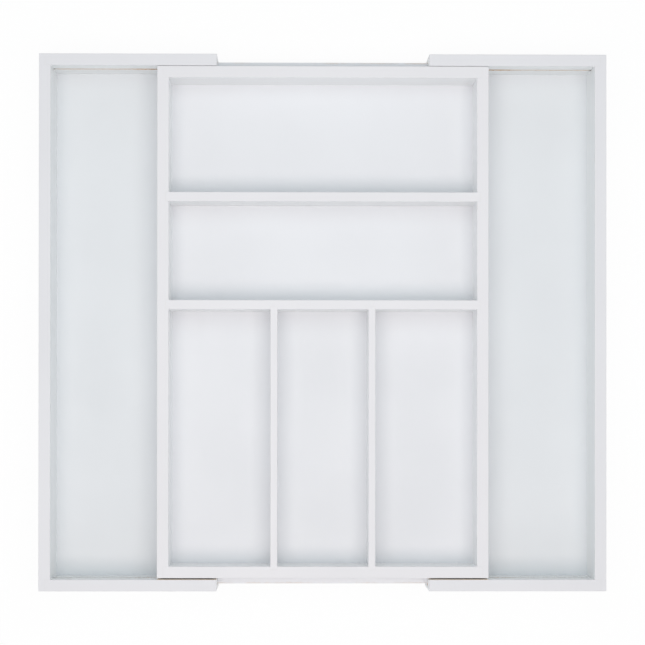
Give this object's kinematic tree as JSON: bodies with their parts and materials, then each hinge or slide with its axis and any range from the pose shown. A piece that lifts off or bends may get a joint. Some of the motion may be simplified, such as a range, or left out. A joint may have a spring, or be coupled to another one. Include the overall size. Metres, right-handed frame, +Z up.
{
  "type": "cutlery tray",
  "caption": "Painted wooden cutlery tray for a drawer: a divided centre tray with side trays that slide out to the left and right on grooved arms.",
  "frame": {"origin": "middle of the footprint with both side trays pulled fully out, at the height of the surface that the tray rests on", "axes": "+X to the right along the direction in which the tray extends, +Y to the rear behind the wide bays, +Z up"},
  "size_m": [0.486, 0.46, 0.05],
  "materials": {
    "painted_board": "solid wood boards under white satin paint, arrises sanded over",
    "painted_divider": "thin solid wood dividers under white satin paint",
    "painted_panel": "thin floor panels under white satin paint",
    "painted_runner": "hardwood runner strips under thin white paint, rubbed along the running edges",
    "bare_wood": "planed bare wood, unseen under the centre tray",
    "brad_steel": "bright steel brads, sunk and painted over"
  },
  "bodies": {
    "centre_tray": {"centre_left_wall": "painted_board", "centre_right_wall": "painted_board", "centre_rear_wall": "painted_board", "centre_front_wall": "painted_board", "centre_floor": "painted_panel", "rear_divider": "painted_divider", "middle_divider": "painted_divider", "left_slat": "painted_divider", "right_slat": "painted_divider", "rear_runner": "painted_runner", "front_runner": "painted_runner", "corner_brads": "brad_steel", "divider_brads": "brad_steel", "slat_brads": "brad_steel"},
    "left_tray": {"left_side_wall": "painted_board", "left_rear_arm": "painted_board", "left_front_arm": "painted_board", "left_floor": "painted_panel", "left_stop_strip": "bare_wood", "left_corner_brads": "brad_steel"},
    "right_tray": {"right_side_wall": "painted_board", "right_rear_arm": "painted_board", "right_front_arm": "painted_board", "right_floor": "painted_panel", "right_stop_strip": "bare_wood", "right_corner_brads": "brad_steel"}
  },
  "joints": [
    {"name": "left_slide", "type": "slide", "parent": "centre_tray", "child": "left_tray", "axis": [-1, 0, 0], "range_m": [-0.0905, 0]},
    {"name": "right_slide", "type": "slide", "parent": "centre_tray", "child": "right_tray", "axis": [1, 0, 0], "range_m": [-0.0905, 0]}
  ]
}
